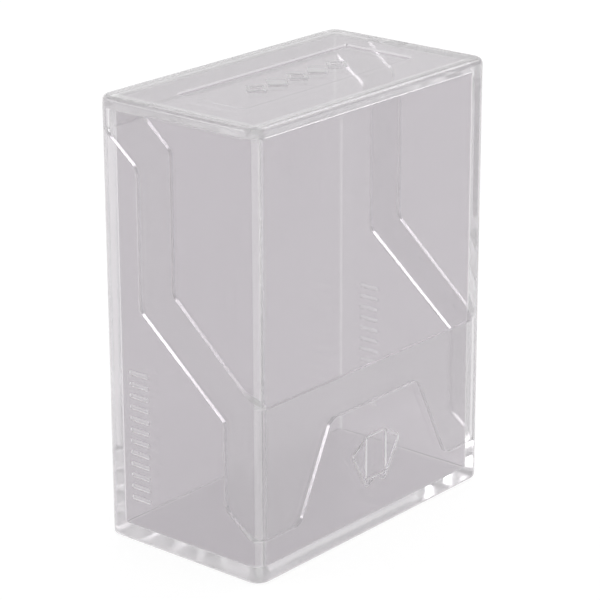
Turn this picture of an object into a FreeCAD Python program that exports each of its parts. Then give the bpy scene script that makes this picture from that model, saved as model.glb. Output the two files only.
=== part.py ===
import FreeCAD, Part
import math
import os

# Clear card deck box: two moulded pieces, a tray that holds the cards and a hood-shaped cover
# that lifts straight up off it. Millimetres, +Z up. The origin is the centre of the underside,
# X runs along the wide faces, and the front is the -Y face.

# Overall size and walls
WIDTH = 77.0
DEPTH = 43.8
HEIGHT = 98.5
WALL = 3.5
FLOOR = 2.8
ROOF = 2.8
CORNER_R = 3.4
BAY_CORNER_R = 0.8
BAY_EDGE_R = 0.4
TOP_EDGE_R = 1.3
BOTTOM_EDGE_R = 1.0

# The lap joint: the cover's thin skirt hangs outside the tray's thin upper wall
SKIRT = 1.7
LAP_GAP = 0.15
RIM_GAP = 0.12
TOP_GAP = 0.2

# The tray's ledge, where its wall steps in and the cover's rim sits, seen from the side (y, z)
BASE_Z = 9.6
LEG_Y = -12.4
LEG_FOOT_Y = -19.9
LEG_FOOT_Z = 15.1
LEG_TOP_Z = 34.3
WINDOW_Y = 10.85
WINDOW_LOW_Z = 53.5
WINDOW_HIGH_Z = 84.4
BACK_LEDGE_Y = 20.2
BACK_LEDGE_Z = 91.4

# The same ledge on the front face: a trapezoid with rounded corners (x, z)
FRONT_PANEL_Z = 30.4
FRONT_PANEL_TOP_HALF = 14.9
FRONT_PANEL_FOOT_HALF = 25.1

# The tray's free upper edge, which the skirt covers (y, z)
FREE_FRONT_Z = 38.4
FREE_FOOT_Y = -21.0
FREE_Y = 2.15
FREE_LOW_Z = 58.5
FREE_HIGH_Z = 89.6
FREE_BACK_Y = 9.6

# Nubs on the tray's upper wall that make the cover snug (y, z), on both sides
NUB_PLACES = [(6.3, 77.4), (-3.5, 49.3), (-13.1, 40.3)]
NUB_RADIUS = 0.7
NUB_HEIGHT = 0.11

# Generic moulded marks, all cut or raised by a few tenths of a millimetre
MARK_DEPTH = 0.35
PANEL_LENGTH = 56.0
PANEL_WIDTH = 19.0
PANEL_CORNER_R = 1.2
PANEL_DEPTH = 0.45
LOZENGE_COUNT = 5
LOZENGE_PITCH = 6.6
LOZENGE_HALF_LENGTH = 2.9
LOZENGE_HALF_WIDTH = 3.0
LOZENGE_RIM = 1.05
LOZENGE_TIP_R = 0.2
LOZENGE_HEIGHT = 0.3
CARD_MARK_WIDTH = 7.4
CARD_MARK_HEIGHT = 10.6
CARD_MARK_R = 1.2
CARD_MARK_LINE = 0.6
CARD_FAN_Z = 12.4
CARD_FAN_ANGLE = 30.0
RIB_COUNT = 12
RIB_PITCH = 2.6
RIB_LENGTH = 5.4
RIB_WIDTH = 1.0
RIB_CENTRE_Y = 11.5
RIB_FIRST_Z = 10.6

# How far the cutting outlines run past the block, and shallow cutters past its faces
BEYOND = 10.0
CLEARANCE = 1.0


def place(plane, u, v, depth=0.0):
    """A point of an outline drawn in the yz, xz or xy plane, at a depth along its normal."""
    if plane == "yz":
        return FreeCAD.Vector(depth, u, v)
    if plane == "xz":
        return FreeCAD.Vector(u, depth, v)
    return FreeCAD.Vector(u, v, depth)


def outline(plane, corners, depth=0.0):
    """A closed face from corners (u, v, radius): straight runs joined by tangent arcs."""
    starts = []
    edges = []
    count = len(corners)
    for index, (u, v, radius) in enumerate(corners):
        here = place(plane, u, v, depth)
        before = place(plane, *corners[index - 1][:2], depth)
        after = place(plane, *corners[(index + 1) % count][:2], depth)
        back = (before - here).normalize()
        onward = (after - here).normalize()
        if radius == 0:
            starts.append((here, here))
            continue
        half_turn = (math.pi - back.getAngle(onward)) / 2
        run = radius * math.tan(half_turn)
        middle = (back + onward).normalize() * (radius / math.cos(half_turn) - radius)
        first = here + back * run
        last = here + onward * run
        edges.append(Part.Arc(first, here + middle, last).toShape())
        starts.append((first, last))
    for index in range(count):
        leave = starts[index][1]
        arrive = starts[(index + 1) % count][0]
        if leave.distanceToPoint(arrive) > 1e-6:
            edges.append(Part.makeLine(leave, arrive))
    return Part.Face(Part.Wire(Part.__sortEdges__(edges)))


def rectangle(plane, u_low, u_high, v_low, v_high, radius, depth=0.0):
    """A rectangular face with rounded corners."""
    corners = [
        (u_low, v_low, radius),
        (u_high, v_low, radius),
        (u_high, v_high, radius),
        (u_low, v_high, radius),
    ]
    return outline(plane, corners, depth)


def rounded_block(width, depth, low, high, radius):
    """An upright block centred on the Z axis, with rounded vertical edges."""
    face = rectangle("xy", -width / 2, width / 2, -depth / 2, depth / 2, radius, low)
    return face.extrude(FreeCAD.Vector(0, 0, high - low))


def edges_at_height(solid, z):
    """The edges of a solid that lie level at a height."""
    return [
        edge
        for edge in solid.Edges
        if abs(edge.BoundBox.ZMin - z) < 1e-4 and abs(edge.BoundBox.ZMax - z) < 1e-4
    ]


def envelope():
    """The whole closed box as one block: both mouldings share its outer faces."""
    block = rounded_block(WIDTH, DEPTH, 0, HEIGHT, CORNER_R)
    block = block.makeFillet(TOP_EDGE_R, edges_at_height(block, HEIGHT))
    return block.makeFillet(BOTTOM_EDGE_R, edges_at_height(block, 0))


def card_bay():
    """The space for the cards, from the floor to the underside of the roof."""
    top = HEIGHT - ROOF
    block = rounded_block(WIDTH - 2 * WALL, DEPTH - 2 * WALL, FLOOR, top, BAY_CORNER_R)
    level_edges = edges_at_height(block, FLOOR) + edges_at_height(block, top)
    return block.makeFillet(BAY_EDGE_R, level_edges)


def inset_block(inset, low, high):
    """The envelope's plan drawn in by an inset, between two heights."""
    return rounded_block(WIDTH - 2 * inset, DEPTH - 2 * inset, low, high, CORNER_R - inset)


def across(face, grow):
    """A side-view outline, grown by a gap if asked, run across the whole width."""
    grown = face.makeOffset2D(grow) if grow else face
    moved = grown.translated(FreeCAD.Vector(-WIDTH, 0, 0))
    return moved.extrude(FreeCAD.Vector(2 * WIDTH, 0, 0))


def full_wall_zone(grow=0.0):
    """Where the tray's wall keeps its full thickness: below the ledge, sides, back and front."""
    front = -DEPTH / 2 - BEYOND
    back = DEPTH / 2 + BEYOND
    side = outline("yz", [
        (front, -BEYOND, 0),
        (back, -BEYOND, 0),
        (back, BACK_LEDGE_Z, 0),
        (BACK_LEDGE_Y, BACK_LEDGE_Z, 0),
        (WINDOW_Y, WINDOW_HIGH_Z, 3.2),
        (WINDOW_Y, WINDOW_LOW_Z, 2.6),
        (LEG_Y, LEG_TOP_Z, 0.6),
        (LEG_Y, LEG_FOOT_Z, 3.4),
        (LEG_FOOT_Y, BASE_Z, 1.0),
        (front, BASE_Z, 0),
    ])
    panel = outline("xz", [
        (-WIDTH, -BEYOND, 0),
        (WIDTH, -BEYOND, 0),
        (WIDTH, BASE_Z, 0),
        (FRONT_PANEL_FOOT_HALF, BASE_Z, 3.2),
        (FRONT_PANEL_TOP_HALF, FRONT_PANEL_Z, 2.8),
        (-FRONT_PANEL_TOP_HALF, FRONT_PANEL_Z, 2.8),
        (-FRONT_PANEL_FOOT_HALF, BASE_Z, 3.2),
        (-WIDTH, BASE_Z, 0),
    ])
    if grow:
        panel = panel.makeOffset2D(grow)
    panel = panel.translated(FreeCAD.Vector(0, -DEPTH / 2 - BEYOND, 0))
    front_zone = panel.extrude(FreeCAD.Vector(0, BEYOND + WALL, 0))
    return across(side, grow).fuse(front_zone)


def lap_zone(top, grow=0.0):
    """Everything below the tray's free upper edge, up to a height at the back."""
    front = -DEPTH / 2 - BEYOND
    back = DEPTH / 2 + BEYOND
    rise = (top - FREE_HIGH_Z) / (HEIGHT - ROOF - FREE_HIGH_Z)
    side = outline("yz", [
        (front, -BEYOND, 0),
        (back, -BEYOND, 0),
        (back, top, 0),
        (FREE_Y + (FREE_BACK_Y - FREE_Y) * rise, top, 0),
        (FREE_Y, FREE_HIGH_Z, 3.0),
        (FREE_Y, FREE_LOW_Z, 2.4),
        (FREE_FOOT_Y, FREE_FRONT_Z, 1.0),
        (front, FREE_FRONT_Z, 0),
    ])
    # Between the corners, the front wall's edge stays level through its whole thickness
    half = WIDTH / 2 - WALL - grow
    above = Part.makeBox(
        2 * half, BEYOND + WALL + CLEARANCE, WALL + CLEARANCE,
        FreeCAD.Vector(-half, front, FREE_FRONT_Z + grow),
    )
    return across(side, grow).cut(above)


def nubs():
    """Low round bumps on the outside of the tray's upper side walls."""
    ball = (NUB_RADIUS ** 2 + NUB_HEIGHT ** 2) / (2 * NUB_HEIGHT)
    face_x = WIDTH / 2 - SKIRT - LAP_GAP
    found = []
    for side in (-1, 1):
        for y, z in NUB_PLACES:
            centre = FreeCAD.Vector(side * (face_x + NUB_HEIGHT - ball), y, z)
            middle_x = side * face_x
            keep = Part.makeBox(
                2 * NUB_HEIGHT + 0.1, 2 * NUB_RADIUS + 0.4, 2 * NUB_RADIUS + 0.4,
                FreeCAD.Vector(middle_x - NUB_HEIGHT - 0.05, y - NUB_RADIUS - 0.2, z - NUB_RADIUS - 0.2),
            )
            found.append(Part.makeSphere(ball, centre).common(keep))
    return found


def card_mark(turn):
    """One upright playing-card shape on the front, turned about the fan's foot: (outer, line)."""

    def card(inset):
        half = CARD_MARK_WIDTH / 2 - inset
        low = CARD_FAN_Z + inset
        high = CARD_FAN_Z + CARD_MARK_HEIGHT - inset
        start = -DEPTH / 2 - CLEARANCE
        face = rectangle("xz", -half, half, low, high, CARD_MARK_R - inset, start)
        solid = face.extrude(FreeCAD.Vector(0, CLEARANCE + MARK_DEPTH, 0))
        return solid.rotated(FreeCAD.Vector(0, 0, CARD_FAN_Z), FreeCAD.Vector(0, 1, 0), turn)

    outer = card(0.0)
    return outer, outer.cut(card(CARD_MARK_LINE))


def card_fan():
    """A generic fan of three card outlines, cut into the tray's front panel."""
    centre, centre_line = card_mark(0.0)
    left = card_mark(-CARD_FAN_ANGLE)[1].cut(centre)
    right = card_mark(CARD_FAN_ANGLE)[1].cut(centre)
    return [centre_line, left, right]


def side_ribs():
    """A ladder of short round-ended grooves near the back of both tray sides."""
    found = []
    half = RIB_LENGTH / 2
    radius = 0.98 * RIB_WIDTH / 2
    for index in range(RIB_COUNT):
        low = RIB_FIRST_Z + index * RIB_PITCH - RIB_WIDTH / 2
        high = low + RIB_WIDTH
        for start in (-WIDTH / 2 - CLEARANCE, WIDTH / 2 - MARK_DEPTH):
            groove = rectangle(
                "yz", RIB_CENTRE_Y - half, RIB_CENTRE_Y + half, low, high, radius, start
            )
            found.append(groove.extrude(FreeCAD.Vector(CLEARANCE + MARK_DEPTH, 0, 0)))
    return found


def roof_panel():
    """The shallow rectangular recess in the roof, less the lozenges that stand on its floor."""
    floor_z = HEIGHT - PANEL_DEPTH
    recess = rectangle(
        "xy", -PANEL_LENGTH / 2, PANEL_LENGTH / 2, -PANEL_WIDTH / 2, PANEL_WIDTH / 2,
        PANEL_CORNER_R, floor_z,
    ).extrude(FreeCAD.Vector(0, 0, PANEL_DEPTH + CLEARANCE))
    for index in range(LOZENGE_COUNT):
        x = (index - (LOZENGE_COUNT - 1) / 2) * LOZENGE_PITCH
        mark = lozenge(x, 0.0, floor_z)
        if index % 2 == 0:
            mark = mark.cut(lozenge(x, LOZENGE_RIM, floor_z))
        recess = recess.cut(mark)
    return recess


def lozenge(x, inset, floor_z):
    """A diamond-shaped pad on the recess floor, drawn in by an inset."""
    along = LOZENGE_HALF_LENGTH - inset
    wide = LOZENGE_HALF_WIDTH - inset
    tip_r = LOZENGE_TIP_R
    corners = [(x - along, 0, tip_r), (x, -wide, tip_r), (x + along, 0, tip_r), (x, wide, tip_r)]
    return outline("xy", corners, floor_z).extrude(FreeCAD.Vector(0, 0, LOZENGE_HEIGHT))


def make_tray():
    """The base moulding: floor, full wall below the ledge, and the thin lap wall above it."""
    full_wall = envelope().common(full_wall_zone())
    tray_top = HEIGHT - ROOF - TOP_GAP
    lap_wall = inset_block(SKIRT + LAP_GAP, FLOOR, tray_top).common(lap_zone(tray_top))
    body = full_wall.fuse(lap_wall).cut(card_bay())
    body = body.fuse(nubs())
    return body.cut(card_fan() + side_ribs()).removeSplitter()


def make_cover():
    """The hood: roof, full wall above the tray's free edge, and the thin skirt below it."""
    body = envelope().cut(full_wall_zone(RIM_GAP))
    pocket = inset_block(SKIRT, 0, HEIGHT - ROOF).common(lap_zone(HEIGHT, RIM_GAP))
    body = body.cut(pocket).cut(card_bay())
    return body.cut(roof_panel()).removeSplitter()


def write_step(name, solid):
    """Saves one node, after making sure that it is a single valid solid."""
    if len(solid.Solids) != 1 or not solid.isValid():
        raise ValueError("%s is not one valid solid: %d solids" % (name, len(solid.Solids)))
    solid.Solids[0].exportStep("parts/%s.step" % name)
    print(name, "volume cm3 %.2f" % (solid.Volume / 1000), solid.optimalBoundingBox())


os.makedirs("parts", exist_ok=True)
tray = make_tray()
cover = make_cover()
print("overlap at rest mm3 %.4f" % tray.common(cover).Volume)
write_step("tray", tray)
write_step("cover", cover)
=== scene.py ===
import math

import bmesh
import bpy
from mathutils import Matrix, Quaternion, Vector


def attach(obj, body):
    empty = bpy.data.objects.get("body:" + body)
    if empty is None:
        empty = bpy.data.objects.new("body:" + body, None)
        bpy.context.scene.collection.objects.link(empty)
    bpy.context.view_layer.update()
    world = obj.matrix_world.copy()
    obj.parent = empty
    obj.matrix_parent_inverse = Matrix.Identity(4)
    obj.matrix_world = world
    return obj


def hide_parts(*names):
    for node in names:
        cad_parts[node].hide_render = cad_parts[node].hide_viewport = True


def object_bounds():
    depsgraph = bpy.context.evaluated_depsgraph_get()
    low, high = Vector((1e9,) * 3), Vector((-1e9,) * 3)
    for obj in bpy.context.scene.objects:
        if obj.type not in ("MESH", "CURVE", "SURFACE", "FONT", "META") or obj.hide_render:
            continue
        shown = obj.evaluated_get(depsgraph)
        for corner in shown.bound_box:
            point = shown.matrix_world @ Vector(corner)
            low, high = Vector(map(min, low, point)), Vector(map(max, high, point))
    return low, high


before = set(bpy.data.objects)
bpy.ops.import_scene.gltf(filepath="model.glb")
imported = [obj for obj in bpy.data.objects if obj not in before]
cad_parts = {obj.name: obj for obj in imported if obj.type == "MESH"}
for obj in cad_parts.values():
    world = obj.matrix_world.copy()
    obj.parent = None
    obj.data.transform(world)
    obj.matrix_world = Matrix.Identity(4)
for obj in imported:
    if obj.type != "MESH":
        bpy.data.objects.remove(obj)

CAD_LOW, CAD_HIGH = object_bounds()
CENTRE = (CAD_LOW + CAD_HIGH) / 2


# ---------------------------------------------------------------- studio
# A light table under white air, and two soft boxes. Clear plastic takes its look from what
# stands round it, so the boxes stand where the slanting ledges and the front panel mirror them.
WHITE = (1.0, 1.0, 1.0, 1.0)
TABLE_GREY = (0.12, 0.12, 0.12, 1.0)
TABLE_GLOW = 0.9
TABLE_HALF = 6.0
TABLE_DROP = 0.0001
LIGHT_BOUNCES = 128
BOX_DISTANCE = 1.2
BOX_WIDTH = 0.5
CAMERA_AZIMUTH = -49.81
CAMERA_ELEVATION = 19.41
CAMERA_ROLL = math.radians(-0.17)
CAMERA_DISTANCE = 0.5602
CAMERA_SLIDE = Vector((0.00044, -0.0011, 0))


def node(tree, kind, settings=None, links=None):
    """Adds one shader node, sets its fields and sockets, and links its inputs by name or number."""
    made = tree.nodes.new(kind)
    for name, value in (settings or {}).items():
        if isinstance(name, int) or name in made.inputs:
            made.inputs[name].default_value = value
        else:
            setattr(made, name, value)
    for name, source in (links or {}).items():
        tree.links.new(source, made.inputs[name])
    return made


def bearing(azimuth, elevation):
    """The direction to a place round the object: azimuth 0 is in front, 90 on the right."""
    turn = math.radians(azimuth)
    rise = math.radians(elevation)
    level = math.cos(rise)
    return Vector((math.sin(turn) * level, -math.cos(turn) * level, math.sin(rise)))


def soft_box(name, azimuth, elevation, height, watts):
    """A soft box round the object that faces its centre."""
    lamp = bpy.data.lights.new(name, "AREA")
    lamp.shape = "RECTANGLE"
    lamp.size = BOX_WIDTH
    lamp.size_y = height
    lamp.energy = watts
    box = bpy.data.objects.new(name, lamp)
    out = bearing(azimuth, elevation)
    box.location = CENTRE + out * BOX_DISTANCE
    box.rotation_mode = "QUATERNION"
    box.rotation_quaternion = out.to_track_quat("Z", "Y")
    scene.collection.objects.link(box)


scene = bpy.context.scene
scene.view_settings.view_transform = "Standard"
# light goes round many times inside clear walls, and a low limit would leave their edges black
scene.cycles.max_bounces = LIGHT_BOUNCES
scene.cycles.transmission_bounces = LIGHT_BOUNCES
scene.cycles.glossy_bounces = LIGHT_BOUNCES
scene.cycles.caustics_reflective = True
scene.cycles.caustics_refractive = True

# the air is a little darker overhead than at the sides
world = bpy.data.worlds.new("studio_air")
scene.world = world
world.use_nodes = True
air = world.node_tree
backdrop = air.nodes["Background"]
backdrop.inputs["Color"].default_value = WHITE
way = node(air, "ShaderNodeTexCoord").outputs["Generated"]
way_up = node(air, "ShaderNodeSeparateXYZ", links={"Vector": way}).outputs["Z"]
overhead = node(
    air, "ShaderNodeMapRange",
    {"From Min": 0.42, "From Max": 0.72, "To Min": 0.88, "To Max": 0.8}, {"Value": way_up})
air.links.new(overhead.outputs["Result"], backdrop.inputs["Strength"])

# opal acrylic, lit from below: pale, matt and even, so the box throws hardly any shadow
table_mesh = bpy.data.meshes.new("floor")
table_corners = [(x * TABLE_HALF, y * TABLE_HALF, 0) for x, y in ((-1, -1), (1, -1), (1, 1), (-1, 1))]
table_mesh.from_pydata(table_corners, [], [(0, 1, 2, 3)])
table = bpy.data.objects.new("floor", table_mesh)
table.location.z = CAD_LOW.z - TABLE_DROP
scene.collection.objects.link(table)
opal = bpy.data.materials.new("light_table_acrylic")
opal.use_nodes = True
opal_shader = opal.node_tree.nodes["Principled BSDF"]
opal_shader.inputs["Base Color"].default_value = TABLE_GREY
opal_shader.inputs["Roughness"].default_value = 0.9
opal_shader.inputs["Emission Color"].default_value = WHITE
opal_shader.inputs["Emission Strength"].default_value = TABLE_GLOW
table_mesh.materials.append(opal)

soft_box("right_box", 76, 42, 0.4, 1.8)
soft_box("back_left_box", 230, 24, 0.3, 1.2)

back = bearing(CAMERA_AZIMUTH, CAMERA_ELEVATION)
camera_turn = back.to_track_quat("Z", "Y") @ Quaternion((0, 0, 1), CAMERA_ROLL)
camera = bpy.data.objects.new("camera", bpy.data.cameras.new("camera"))
camera.data.lens = 154.6
camera.data.sensor_width = 36
camera.data.clip_start = 0.01
camera.data.clip_end = 50
camera.rotation_mode = "QUATERNION"
camera.rotation_quaternion = camera_turn
camera.location = CENTRE + back * CAMERA_DISTANCE + camera_turn @ CAMERA_SLIDE
scene.collection.objects.link(camera)
scene.camera = camera


# ---------------------------------------------------------------- tray
# The tray holds the cards. It is one injection moulding in clear polystyrene: a floor, a wall at
# full thickness below the stepped ledge, and above it a thin wall that the cover slides over.
MM = 0.001
WIDTH, DEPTH, HEIGHT = [round(size / MM, 1) for size in CAD_HIGH - CAD_LOW]
WALL = 3.5
FLOOR = 2.8
ROOF = 2.8
CORNER_R = 3.4
BAY_CORNER_R = 0.8
BAY_EDGE_R = 0.4
TOP_EDGE_R = 1.3
BOTTOM_EDGE_R = 1.0
SKIRT = 1.7
LAP_GAP = 0.15
LAP_FACE = SKIRT + LAP_GAP
TOP_GAP = 0.2
TRAY_TOP = HEIGHT - ROOF - TOP_GAP

# the ledge, where the wall steps in and the cover's rim sits, seen from the side (y, z)
BASE_Z = 9.6
LEG_Y = -12.4
LEG_FOOT_Y = -19.9
LEG_FOOT_Z = 15.1
LEG_TOP_Z = 34.3
WINDOW_Y = 10.85
WINDOW_LOW_Z = 53.5
WINDOW_HIGH_Z = 84.4
BACK_LEDGE_Y = 19.9
BACK_LEDGE_Z = 91.4

# the same ledge on the front face, a trapezoid with rounded corners (x, z)
FRONT_PANEL_Z = 30.4
FRONT_PANEL_TOP_HALF = 14.9
FRONT_PANEL_FOOT_HALF = 25.1

# the free upper edge, which the cover's skirt hides (y, z)
FREE_FRONT_Z = 38.4
FREE_FOOT_Y = -21.0
FREE_Y = 2.15
FREE_LOW_Z = 58.5
FREE_HIGH_Z = 89.6
FREE_BACK_Y = 9.6

# low bumps on both sides of the thin wall (y, z)
NUBS = ((6.3, 77.4), (-3.5, 49.3), (-13.1, 40.3))
NUB_RADIUS = 0.7
NUB_HEIGHT = 0.11

# how far cutting shapes run past what they cut, and how finely curves are divided
PAST = 1.0
FRONT_FAR = 50.0
FAR = 60.0
ARC_STEP = math.radians(6)
EDGE_STEPS = 8
NUB_STEPS = 12
NUB_SPOKES = 36
SHARP = math.radians(38)


def outline(corners, grow=0.0):
    """Points of a closed outline: corners (u, v, radius) joined by fine arcs, grown by a gap."""
    found = []
    for index, (u, v, radius) in enumerate(corners):
        here = Vector((u, v))
        before = (here - Vector(corners[index - 1][:2])).normalized()
        after = (Vector(corners[(index + 1) % len(corners)][:2]) - here).normalized()
        out_before = Vector((before.y, -before.x))
        out_after = Vector((after.y, -after.x))
        here += (out_before + out_after) * grow / (1 + out_before.dot(out_after))
        bend = math.atan2(before.x * after.y - before.y * after.x, before.dot(after))
        radius = max(radius + math.copysign(grow, bend), 0)
        if radius == 0:
            found.append(here)
            continue
        start = here - before * radius * math.tan(abs(bend) / 2)
        centre = start - out_before * math.copysign(radius, bend)
        spoke = start - centre
        steps = max(2, math.ceil(abs(bend) / ARC_STEP))
        for step in range(steps + 1):
            angle = bend * step / steps
            cos, sin = math.cos(angle), math.sin(angle)
            found.append(centre + Vector((spoke.x * cos - spoke.y * sin, spoke.x * sin + spoke.y * cos)))
    return found


def rectangle(low_u, low_v, high_u, high_v, radius):
    """The outline of a rectangle with rounded corners."""
    return outline([
        (low_u, low_v, radius), (high_u, low_v, radius), (high_u, high_v, radius), (low_u, high_v, radius)])


def stacked(rings):
    """A closed solid, in millimetres, from rings of points laid one on the next."""
    count = len(rings[0])
    last = (len(rings) - 1) * count
    faces = [tuple(range(count))[::-1], tuple(range(last, last + count))]
    for ring in range(len(rings) - 1):
        for index in range(count):
            here = ring * count + index
            beside = ring * count + (index + 1) % count
            faces.append((here, beside, beside + count, here + count))
    mesh = bpy.data.meshes.new("solid")
    mesh.from_pydata([point for ring in rings for point in ring], [], faces)
    skin = bmesh.new()
    skin.from_mesh(mesh)
    bmesh.ops.recalc_face_normals(skin, faces=skin.faces)
    skin.to_mesh(mesh)
    skin.free()
    made = bpy.data.objects.new("solid", mesh)
    scene.collection.objects.link(made)
    return made


def across(points, low, high):
    """A side-view outline (y, z) run across the width."""
    return stacked([[(x, u, v) for u, v in points] for x in (low, high)])


def through(points, low, high):
    """A front-view outline (x, z) run through the depth."""
    return stacked([[(u, y, v) for u, v in points] for y in (low, high)])


def upright(points, low, high):
    """A plan-view outline (x, y) run up the height."""
    return stacked([[(u, v, z) for u, v in points] for z in (low, high)])


def plan(inset, radius):
    """The box's plan, drawn in by an inset, with a corner radius."""
    x = WIDTH / 2 - inset
    y = DEPTH / 2 - inset
    return rectangle(-x, -y, x, y, radius)


def rounded_block(inset, radius, low, high, low_round, high_round):
    """An upright block whose level edges are rounded as well as its corners."""
    rings = []
    for z, lean, rounding in ((low, 1, low_round), (high, -1, high_round)):
        for step in range(EDGE_STEPS + 1)[::lean]:
            angle = math.radians(90 * step / EDGE_STEPS)
            drawn_in = rounding * (1 - math.sin(angle))
            level = z + lean * rounding * (1 - math.cos(angle))
            rings.append([(u, v, level) for u, v in plan(inset + drawn_in, radius - drawn_in)])
    return stacked(rings)


def combine(piece, operation, tools):
    """Joins, cuts or keeps the overlap of solids, one tool after another."""
    for tool in tools:
        step = piece.modifiers.new("step", "BOOLEAN")
        step.operation = operation
        step.solver = "MANIFOLD"
        step.object = tool
        tool.hide_render = True
    bpy.context.view_layer.update()
    worked = piece.evaluated_get(bpy.context.evaluated_depsgraph_get())
    mesh = bpy.data.meshes.new_from_object(worked)
    piece.modifiers.clear()
    piece.data = mesh
    for tool in tools:
        bpy.data.objects.remove(tool)
    return piece


def envelope():
    """The closed box's outer faces, which both mouldings share."""
    return rounded_block(0, CORNER_R, 0, HEIGHT, BOTTOM_EDGE_R, TOP_EDGE_R)


def card_bay():
    """The space for the cards."""
    return rounded_block(WALL, BAY_CORNER_R, FLOOR, HEIGHT - ROOF, BAY_EDGE_R, BAY_EDGE_R)


def full_wall_zone(grow=0.0):
    """Where the tray's wall keeps its full thickness: below the stepped ledge, and the front panel."""
    side = outline([
        (-FAR, -FAR, 0), (FAR, -FAR, 0), (FAR, BACK_LEDGE_Z, 0), (BACK_LEDGE_Y, BACK_LEDGE_Z, 0),
        (WINDOW_Y, WINDOW_HIGH_Z, 3.2), (WINDOW_Y, WINDOW_LOW_Z, 2.6), (LEG_Y, LEG_TOP_Z, 0.6),
        (LEG_Y, LEG_FOOT_Z, 3.4), (LEG_FOOT_Y, BASE_Z, 1.0), (-FAR, BASE_Z, 0)], grow)
    panel = outline([
        (-FRONT_FAR, -5, 0), (FRONT_FAR, -5, 0), (FRONT_FAR, BASE_Z, 0),
        (FRONT_PANEL_FOOT_HALF, BASE_Z, 3.2), (FRONT_PANEL_TOP_HALF, FRONT_PANEL_Z, 2.8),
        (-FRONT_PANEL_TOP_HALF, FRONT_PANEL_Z, 2.8), (-FRONT_PANEL_FOOT_HALF, BASE_Z, 3.2),
        (-FRONT_FAR, BASE_Z, 0)], grow)
    front = through(panel, -FRONT_FAR, WALL - DEPTH / 2 + PAST)
    return combine(across(side, -2 * FAR, 2 * FAR), "UNION", [front])


def lap_zone(top, grow=0.0):
    """Everything below the tray's free upper edge, up to a height at the back; level at the front."""
    rise = (top - FREE_HIGH_Z) / (HEIGHT - ROOF - FREE_HIGH_Z)
    side = outline([
        (-FAR, -FAR, 0), (FAR, -FAR, 0), (FAR, top, 0),
        (FREE_Y + (FREE_BACK_Y - FREE_Y) * rise, top, 0), (FREE_Y, FREE_HIGH_Z, 3.0),
        (FREE_Y, FREE_LOW_Z, 2.4), (FREE_FOOT_Y, FREE_FRONT_Z, 1.0), (-FAR, FREE_FRONT_Z, 0)], grow)
    half = WIDTH / 2 - WALL - grow
    front = rectangle(-half, -FRONT_FAR, half, WALL - DEPTH / 2 + PAST, 0)
    above = upright(front, FREE_FRONT_Z + grow, FREE_FRONT_Z + WALL + PAST)
    return combine(across(side, -2 * FAR, 2 * FAR), "DIFFERENCE", [above])


def nub(side, y, z):
    """A low round bump outside the thin wall, which makes the cover a snug fit."""
    ball_r = (NUB_RADIUS ** 2 + NUB_HEIGHT ** 2) / (2 * NUB_HEIGHT)
    rings = []
    # rings of a ball, from close to its outermost point down to inside the wall
    for step in range(NUB_STEPS + 1):
        angle = math.radians(2 + 34 * step / NUB_STEPS)
        reach = ball_r * math.sin(angle)
        x = WIDTH / 2 - LAP_FACE + NUB_HEIGHT - ball_r * (1 - math.cos(angle))
        turns = [math.radians(360 * spoke / NUB_SPOKES) for spoke in range(NUB_SPOKES)]
        rings.append([(side * x, y + reach * math.cos(turn), z + reach * math.sin(turn)) for turn in turns])
    return stacked(rings)


def finished(piece, name):
    """Takes a solid from millimetres to its place and shades it smooth up to its real edges."""
    skin = bmesh.new()
    skin.from_mesh(piece.data)
    bmesh.ops.remove_doubles(skin, verts=skin.verts, dist=0.001)
    skin.to_mesh(piece.data)
    skin.free()
    piece.data.transform(Matrix.Scale(MM, 4))
    for face in piece.data.polygons:
        face.use_smooth = True
    piece.data.set_sharp_from_angle(angle=SHARP)
    even = piece.modifiers.new("even_normals", "WEIGHTED_NORMAL")
    even.keep_sharp = True
    even.weight = 100
    piece.name = name
    piece.data.name = name
    return piece


lap_wall = upright(plan(LAP_FACE, CORNER_R - LAP_FACE), FLOOR, HEIGHT)
lap_wall = combine(lap_wall, "INTERSECT", [lap_zone(TRAY_TOP)])
tray = combine(envelope(), "INTERSECT", [full_wall_zone()])
tray = combine(tray, "UNION", [lap_wall])
tray = combine(tray, "DIFFERENCE", [card_bay()])
tray = combine(tray, "UNION", [nub(side, y, z) for side in (-1, 1) for y, z in NUBS])

# sunk marks: a fan of three plain cards on the front panel and a ladder of grooves on each side
MARK_DEPTH = 0.35
CARD_HALF = 3.7
CARD_FOOT = 12.4
CARD_HEAD = 23.0
CARD_R = 1.2
CARD_LINE = 0.6
FAN_ANGLE = math.radians(30)
GROOVE_COUNT = 12
GROOVE_PITCH = 2.6
GROOVE_FOOT = 10.1
GROOVE_ENDS = (8.8, 14.2)
GROOVE_R = 0.49
MARKS_LOW = 8.0
MARKS_HIGH = 42.0


def card(turn_by, inset):
    """A playing card's outline on the front panel, turned about the foot of the fan."""
    half = CARD_HALF - inset
    flat = rectangle(-half, CARD_FOOT + inset, half, CARD_HEAD - inset, CARD_R - inset)
    cos, sin = math.cos(turn_by), math.sin(turn_by)
    turned = [
        (u * cos + (v - CARD_FOOT) * sin, CARD_FOOT + (v - CARD_FOOT) * cos - u * sin) for u, v in flat]
    return through(turned, -DEPTH / 2 - PAST - abs(inset), -DEPTH / 2 + MARK_DEPTH + abs(inset))


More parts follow.
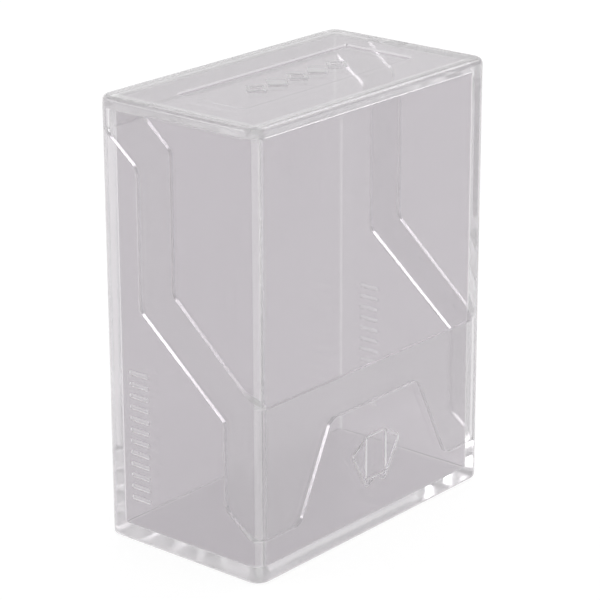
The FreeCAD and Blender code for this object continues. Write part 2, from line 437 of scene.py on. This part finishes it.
marks = [combine(card(0, 0), "DIFFERENCE", [card(0, CARD_LINE)])]
for turn_by in (-FAN_ANGLE, FAN_ANGLE):
    side_card = combine(card(turn_by, 0), "DIFFERENCE", [card(turn_by, CARD_LINE)])
    # the side cards stop just short of the middle one, so that their lines don't run together
    marks.append(combine(side_card, "DIFFERENCE", [card(0, -MARK_DEPTH)]))
for index in range(GROOVE_COUNT):
    foot = GROOVE_FOOT + GROOVE_PITCH * index
    groove = rectangle(GROOVE_ENDS[0], foot, GROOVE_ENDS[1], foot + 1, GROOVE_R)
    marks.append(across(groove, WIDTH / 2 - MARK_DEPTH, WIDTH / 2 + PAST))
    marks.append(across(groove, -WIDTH / 2 - PAST, MARK_DEPTH - WIDTH / 2))
tray = finished(combine(tray, "DIFFERENCE", marks), "tray_moulding")

# the resin is clear with a faint lilac cast; its grey is partly its own and partly painted shade that
# stands for dim surroundings seen through the walls; half of a wall's tint sits at each of its two faces
CAST_AND_PAINTED_SHADE = "dad7da"
UNTINTED = "fdfdfd"
SATIN_CLEAR = "fbfafb"
POLYSTYRENE_IOR = 1.59
POLISHED_ROUGH = 0.035
EDGE_ROUGH = 0.22
LAP_ROUGH = 0.14
SATIN_ROUGH = 0.3
SATIN_SPREAD = 0.06
SCUFF_SPREAD = 0.015
SCUFF_SIZE = 9 * MM
GRAIN_SIZE = 0.8 * MM


def linear(hex_colour):
    """An sRGB hex colour such as "c8c4ca" as linear light."""
    channels = [int(hex_colour[i:i + 2], 16) / 255 for i in (0, 2, 4)]
    return [c / 12.92 if c <= 0.04045 else ((c + 0.055) / 1.055) ** 2.4 for c in channels] + [1.0]


def polished_polystyrene(name):
    """Clear polystyrene from a polished mould: glassy walls, with a soft haze near the box's outer
    edges, where the thick corners cool slowly, and on the lap faces, which rub on each other."""
    made = bpy.data.materials.new(name)
    made.use_nodes = True
    tree = made.node_tree
    shader = tree.nodes["Principled BSDF"]
    shader.inputs["Transmission Weight"].default_value = 1.0
    shader.inputs["IOR"].default_value = POLYSTYRENE_IOR
    # how far in from the side, front and level outer faces a point is
    place = node(tree, "ShaderNodeTexCoord").outputs["Object"]
    middle = node(
        tree, "ShaderNodeVectorMath",
        {"operation": "SUBTRACT", 1: (0, 0, HEIGHT * MM / 2)}, {0: place}).outputs["Vector"]
    away = node(tree, "ShaderNodeVectorMath", {"operation": "ABSOLUTE"}, {0: middle}).outputs["Vector"]
    half_size = (WIDTH * MM / 2, DEPTH * MM / 2, HEIGHT * MM / 2)
    inset = node(tree, "ShaderNodeVectorMath", {"operation": "SUBTRACT", 0: half_size}, {1: away})
    insets = node(tree, "ShaderNodeSeparateXYZ", links={"Vector": inset.outputs["Vector"]})
    side_in, front_in, level_in = insets.outputs
    wall_in = node(tree, "ShaderNodeMath", {"operation": "MINIMUM"}, {0: side_in, 1: front_in}).outputs[0]
    # 1 on the lap faces inside the wall's thickness, 0 on the outer and bay faces
    lap = node(
        tree, "ShaderNodeMath",
        {"operation": "COMPARE", 1: WALL * MM / 2, 2: WALL * MM / 2 - 0.5 * MM}, {0: wall_in}).outputs[0]
    # how near an outer edge a point is: the second smallest of its three distances in
    farther = node(tree, "ShaderNodeMath", {"operation": "MAXIMUM"}, {0: side_in, 1: front_in}).outputs[0]
    second = node(tree, "ShaderNodeMath", {"operation": "MINIMUM"}, {0: farther, 1: level_in}).outputs[0]
    from_edge = node(tree, "ShaderNodeMath", {"operation": "MAXIMUM"}, {0: wall_in, 1: second}).outputs[0]
    edge_haze = node(
        tree, "ShaderNodeMapRange",
        {"From Min": 0.5 * MM, "From Max": 4 * MM, "To Min": EDGE_ROUGH, "To Max": POLISHED_ROUGH},
        {"Value": from_edge}).outputs["Result"]
    lap_haze = node(tree, "ShaderNodeMath", {"operation": "MULTIPLY", 1: LAP_ROUGH}, {0: lap}).outputs[0]
    haze = node(tree, "ShaderNodeMath", {"operation": "MAXIMUM"}, {0: edge_haze, 1: lap_haze}).outputs[0]
    # broad, faint scuffs from handling
    scuffs = node(
        tree, "ShaderNodeTexNoise", {"Scale": 1 / SCUFF_SIZE, "Detail": 5.0, "Roughness": 0.65},
        {"Vector": place}).outputs["Fac"]
    uneven = node(
        tree, "ShaderNodeMapRange", {"To Min": -SCUFF_SPREAD, "To Max": SCUFF_SPREAD},
        {"Value": scuffs}).outputs["Result"]
    rough = node(tree, "ShaderNodeMath", {"operation": "ADD"}, {0: haze, 1: uneven}).outputs[0]
    tree.links.new(rough, shader.inputs["Roughness"])
    # a full wall is tinted, with its cast and its painted shade, at its two faces, and the lap inside it
    # adds no more
    cast_and_shade_tint = node(
        tree, "ShaderNodeMix", {"data_type": "RGBA", 6: linear(CAST_AND_PAINTED_SHADE), 7: linear(UNTINTED)}, {0: lap})
    tree.links.new(cast_and_shade_tint.outputs[2], shader.inputs["Base Color"])
    return made


def satin_polystyrene(name):
    """The same resin where the mould is etched, on the free edges and the marks: it scatters what
    it mirrors, so these draw soft pale lines. The grain is coarser than the real one, to show."""
    made = bpy.data.materials.new(name)
    made.use_nodes = True
    tree = made.node_tree
    shader = tree.nodes["Principled BSDF"]
    shader.inputs["Base Color"].default_value = linear(SATIN_CLEAR)
    shader.inputs["Transmission Weight"].default_value = 1.0
    shader.inputs["IOR"].default_value = POLYSTYRENE_IOR
    place = node(tree, "ShaderNodeTexCoord").outputs["Object"]
    grain = node(
        tree, "ShaderNodeTexNoise", {"Scale": 1 / GRAIN_SIZE, "Detail": 3.0},
        {"Vector": place}).outputs["Fac"]
    spread = node(
        tree, "ShaderNodeMapRange",
        {"To Min": SATIN_ROUGH - SATIN_SPREAD, "To Max": SATIN_ROUGH + SATIN_SPREAD}, {"Value": grain})
    tree.links.new(spread.outputs["Result"], shader.inputs["Roughness"])
    return made


def wall_inset(centre):
    """How far in from the box's outer walls a point is, in millimetres."""
    over_x = max(abs(centre.x) - WIDTH / 2 + CORNER_R, 0)
    over_y = max(abs(centre.y) - DEPTH / 2 + CORNER_R, 0)
    return CORNER_R - math.hypot(over_x, over_y)


def on_free_edge(centre):
    """True on the narrow faces where the inner half of a wall ends against the other moulding.
    The margins keep out the walls' own faces, the floor, the roof and the tray's top."""
    in_inner_half = LAP_FACE + 0.06 < wall_inset(centre) < WALL - 0.15
    return in_inner_half and FLOOR + 1.2 < centre.z < TRAY_TOP - 0.1


def on_tray_mark(centre):
    """True inside the sunk cards and grooves."""
    return 0.05 < wall_inset(centre) < MARK_DEPTH + 0.05 and MARKS_LOW < centre.z < MARKS_HIGH


def two_finishes(piece, name, is_mark):
    """Polished walls, and satin free edges and marks, on one moulding."""
    piece.data.materials.clear()
    piece.data.materials.append(polished_polystyrene(name + "_polished_polystyrene"))
    piece.data.materials.append(satin_polystyrene(name + "_satin_polystyrene"))
    for face in piece.data.polygons:
        centre = face.center / MM
        face.material_index = int(on_free_edge(centre) or is_mark(centre))


two_finishes(tray, "tray", on_tray_mark)
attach(tray, "tray")
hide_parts("tray")


# ---------------------------------------------------------------- cover
# The cover is the second moulding, a hood in the same clear polystyrene. Its thin skirt slides
# down outside the tray's thin wall until it meets the ledge, and nothing else holds it on.
RIM_GAP = 0.12
RECESS_X = 28.0
RECESS_Y = 9.5
RECESS_R = 1.2
RECESS_FLOOR = HEIGHT - 0.45
LOZENGE_COUNT = 5
LOZENGE_PITCH = 6.6
LOZENGE_X = 2.9
LOZENGE_Y = 3.0
LOZENGE_R = 0.2
LOZENGE_TOP = HEIGHT - 0.15
LOZENGE_RIM = 1.05
LOZENGE_ROW = 17.0


def lozenge(x, inset, low, top):
    """An upright lozenge in the roof's row of five."""
    along = LOZENGE_X - inset
    wide = LOZENGE_Y - inset
    points = [(x - along, 0), (x, -wide), (x + along, 0), (x, wide)]
    return upright(outline([(u, v, LOZENGE_R) for u, v in points]), low, top)


def on_lozenge(centre):
    """True on the lozenges' tops and sides, but not on the recess's floor."""
    in_row = abs(centre.x) < LOZENGE_ROW and abs(centre.y) < LOZENGE_Y + 0.1
    near_top = HEIGHT - 0.8 < centre.z < HEIGHT - 0.05
    return in_row and near_top and abs(centre.z - RECESS_FLOOR) > 0.02


pocket = upright(plan(SKIRT, CORNER_R - SKIRT), -PAST, HEIGHT - ROOF)
pocket = combine(pocket, "INTERSECT", [lap_zone(HEIGHT, RIM_GAP)])
cover = combine(envelope(), "DIFFERENCE", [full_wall_zone(RIM_GAP)])
cover = combine(cover, "DIFFERENCE", [pocket])
cover = combine(cover, "DIFFERENCE", [card_bay()])
recess = rectangle(-RECESS_X, -RECESS_Y, RECESS_X, RECESS_Y, RECESS_R)
recess = upright(recess, RECESS_FLOOR, HEIGHT + PAST)
for index in range(LOZENGE_COUNT):
    x = (index - LOZENGE_COUNT // 2) * LOZENGE_PITCH
    pad = lozenge(x, 0, RECESS_FLOOR - 0.2, LOZENGE_TOP)
    if index % 2 == 0:
        pad = combine(pad, "DIFFERENCE", [lozenge(x, LOZENGE_RIM, RECESS_FLOOR - 0.3, HEIGHT)])
    recess = combine(recess, "DIFFERENCE", [pad])
cover = finished(combine(cover, "DIFFERENCE", [recess]), "cover_moulding")
two_finishes(cover, "cover", on_lozenge)
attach(cover, "cover")
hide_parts("cover")
